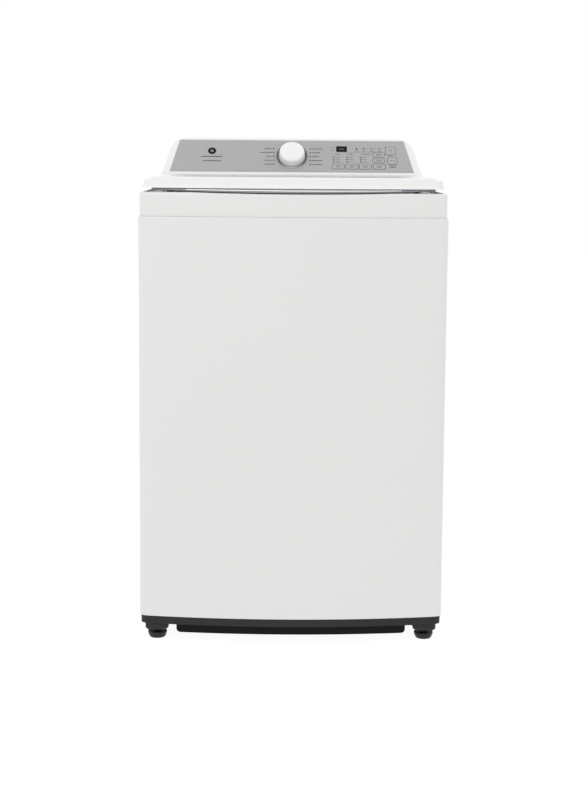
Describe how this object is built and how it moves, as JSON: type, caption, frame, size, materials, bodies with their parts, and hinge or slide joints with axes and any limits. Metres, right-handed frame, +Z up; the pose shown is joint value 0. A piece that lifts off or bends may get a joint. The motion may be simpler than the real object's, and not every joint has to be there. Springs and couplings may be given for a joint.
{
  "type": "top load washing machine",
  "caption": "Top load washing machine with a bowed front, a hinged lid with a window, a rear control console and a spring-hung tub with a spinning basket.",
  "frame": {"origin": "on the floor, under the middle of the machine's footprint", "axes": "+X to the machine's right as seen from the front, +Y to the back, where the water ports are, +Z up"},
  "size_m": [0.686, 0.69, 1.143],
  "materials": {
    "cabinet_paint": "smooth gloss enamel on sheet steel",
    "galvanised_sheet": "galvanised sheet steel with a fine spangle",
    "base_plastic": "dark grey moulded plastic, fine grain",
    "skirt_plastic": "black moulded plastic, satin",
    "white_plastic": "white moulded plastic, gloss",
    "lid_glass": "tinted tempered glass",
    "grip_trim": "smoked metallic plastic, polished",
    "rubber": "black moulded rubber",
    "leg_steel": "black coated steel stud and pad with a ribbed sole",
    "steel_hardware": "zinc plated steel",
    "panel_grey": "silver grey painted plastic, satin",
    "display_black": "black smoked acrylic",
    "circuit_board": "green solder mask",
    "black_plastic": "black moulded plastic, satin",
    "knob_ring_metal": "dark metallic plastic, polished",
    "light_lens": "amber diffusing plastic",
    "tub_plastic": "grey glass-filled polypropylene",
    "stainless": "brushed stainless steel",
    "cast_aluminium": "as-cast aluminium, fine grain",
    "wash_plastic": "pale grey moulded plastic, satin",
    "motor_paint": "dark enamel on cast and pressed steel",
    "spring_steel": "oil-tempered spring steel",
    "hose_rubber": "ribbed grey hose",
    "valve_plastic": "white glass-filled plastic"
  },
  "bodies": {
    "root": {"cabinet": "cabinet_paint", "rear_panel": "galvanised_sheet", "base_frame": "base_plastic", "front_skirt": "skirt_plastic", "leg_lock_nuts": "steel_hardware", "top_cover": "white_plastic", "fill_spout": "white_plastic", "lid_lock_housing": "black_plastic", "console_body": "white_plastic", "console_back": "galvanised_sheet", "control_panel": "panel_grey", "display_window": "display_black", "control_board": "circuit_board", "cycle_encoder": "black_plastic", "knob_ring": "knob_ring_metal", "indicator_lights": "light_lens", "drain_hose": "hose_rubber", "suspension_rods": "steel_hardware", "suspension_springs": "spring_steel", "inlet_valve": "valve_plastic", "power_gland": "black_plastic", "case_screws": "steel_hardware"},
    "lid": {"lid_frame": "white_plastic", "lid_liner": "white_plastic", "lid_window": "lid_glass", "lid_grip": "grip_trim", "lid_bumpers": "rubber", "lid_hinge_pins": "steel_hardware", "lid_strike": "steel_hardware"},
    "lock_bolt": {"lid_lock_bolt": "steel_hardware"},
    "knob": {"cycle_knob": "white_plastic"},
    "power_key": {"power_button": "panel_grey"},
    "start_key": {"start_button": "panel_grey"},
    "option_key_1": {"option_button_1": "panel_grey"},
    "option_key_2": {"option_button_2": "panel_grey"},
    "option_key_3": {"option_button_3": "panel_grey"},
    "option_key_4": {"option_button_4": "panel_grey"},
    "option_key_5": {"option_button_5": "panel_grey"},
    "option_key_6": {"option_button_6": "panel_grey"},
    "leg_front_left": {"leveling_leg_front_left": "leg_steel"},
    "leg_front_right": {"leveling_leg_front_right": "leg_steel"},
    "leg_rear_left": {"leveling_leg_rear_left": "leg_steel"},
    "leg_rear_right": {"leveling_leg_rear_right": "leg_steel"},
    "tub": {"outer_tub": "tub_plastic", "tub_cover": "tub_plastic", "mount_bracket": "steel_hardware", "gearcase": "cast_aluminium", "shaft_bearings": "steel_hardware", "tub_seal": "rubber", "motor": "motor_paint", "drive_belt": "rubber", "pump_housing": "black_plastic"},
    "spin_basket": {"basket": "stainless", "basket_hub": "cast_aluminium", "balance_ring": "wash_plastic"},
    "drive": {"impeller": "wash_plastic", "drive_shaft": "steel_hardware", "drive_pulley": "black_plastic"},
    "motor_shaft": {"motor_rotor": "steel_hardware"},
    "pump_shaft": {"pump_rotor": "wash_plastic"}
  },
  "joints": [
    {"name": "lid_hinge", "type": "hinge", "parent": "root", "child": "lid", "pos_m": [0, 0.16534, 1.0397], "axis": [-1, 0, 0], "range_deg": [0, 92]},
    {"name": "lid_lock", "type": "slide", "parent": "root", "child": "lock_bolt", "axis": [-1, 0, 0], "range_m": [0, 0.009]},
    {"name": "cycle_knob_turn", "type": "hinge", "parent": "root", "child": "knob", "pos_m": [0, 0.22299, 1.09813], "axis": [0, -0.7986, 0.6018], "continuous": true},
    {"name": "power_press", "type": "slide", "parent": "root", "child": "power_key", "axis": [0, 0.7986, -0.6018], "range_m": [0, 0.0012], "stiffness_N_per_m": 900, "springref_m": -0.0006},
    {"name": "start_press", "type": "slide", "parent": "root", "child": "start_key", "axis": [0, 0.7986, -0.6018], "range_m": [0, 0.0012], "stiffness_N_per_m": 900, "springref_m": -0.0006},
    {"name": "option_press_1", "type": "slide", "parent": "root", "child": "option_key_1", "axis": [0, 0.7986, -0.6018], "range_m": [0, 0.0012], "stiffness_N_per_m": 900, "springref_m": -0.0006},
    {"name": "option_press_2", "type": "slide", "parent": "root", "child": "option_key_2", "axis": [0, 0.7986, -0.6018], "range_m": [0, 0.0012], "stiffness_N_per_m": 900, "springref_m": -0.0006},
    {"name": "option_press_3", "type": "slide", "parent": "root", "child": "option_key_3", "axis": [0, 0.7986, -0.6018], "range_m": [0, 0.0012], "stiffness_N_per_m": 900, "springref_m": -0.0006},
    {"name": "option_press_4", "type": "slide", "parent": "root", "child": "option_key_4", "axis": [0, 0.7986, -0.6018], "range_m": [0, 0.0012], "stiffness_N_per_m": 900, "springref_m": -0.0006},
    {"name": "option_press_5", "type": "slide", "parent": "root", "child": "option_key_5", "axis": [0, 0.7986, -0.6018], "range_m": [0, 0.0012], "stiffness_N_per_m": 900, "springref_m": -0.0006},
    {"name": "option_press_6", "type": "slide", "parent": "root", "child": "option_key_6", "axis": [0, 0.7986, -0.6018], "range_m": [0, 0.0012], "stiffness_N_per_m": 900, "springref_m": -0.0006},
    {"name": "leveling_front_left", "type": "slide", "parent": "root", "child": "leg_front_left", "axis": [0, 0, -1], "range_m": [0, 0.015]},
    {"name": "leveling_front_right", "type": "slide", "parent": "root", "child": "leg_front_right", "axis": [0, 0, -1], "range_m": [0, 0.015]},
    {"name": "leveling_rear_left", "type": "slide", "parent": "root", "child": "leg_rear_left", "axis": [0, 0, -1], "range_m": [0, 0.015]},
    {"name": "leveling_rear_right", "type": "slide", "parent": "root", "child": "leg_rear_right", "axis": [0, 0, -1], "range_m": [0, 0.015]},
    {"name": "tub_sink", "type": "slide", "parent": "root", "child": "tub", "axis": [0, 0, -1], "range_m": [0, 0.015], "stiffness_N_per_m": 9000, "springref_m": -0.03576, "deforming": ["suspension_springs"]},
    {"name": "basket_spin", "type": "hinge", "parent": "tub", "child": "spin_basket", "pos_m": [0, -0.005, 0.4], "axis": [0, 0, 1], "continuous": true},
    {"name": "drive_spin", "type": "hinge", "parent": "tub", "child": "drive", "pos_m": [0, -0.005, 0.2], "axis": [0, 0, 1], "continuous": true},
    {"name": "motor_spin", "type": "hinge", "parent": "tub", "child": "motor_shaft", "pos_m": [-0.165, -0.005, 0.18], "axis": [0, 0, 1], "continuous": true},
    {"name": "pump_spin", "type": "hinge", "parent": "tub", "child": "pump_shaft", "pos_m": [0.15, 0.214, 0.21], "axis": [0, 0, 1], "continuous": true}
  ],
  "couplings": [
    {"joint": "motor_spin", "follows": "drive_spin", "ratio": 5}
  ]
}
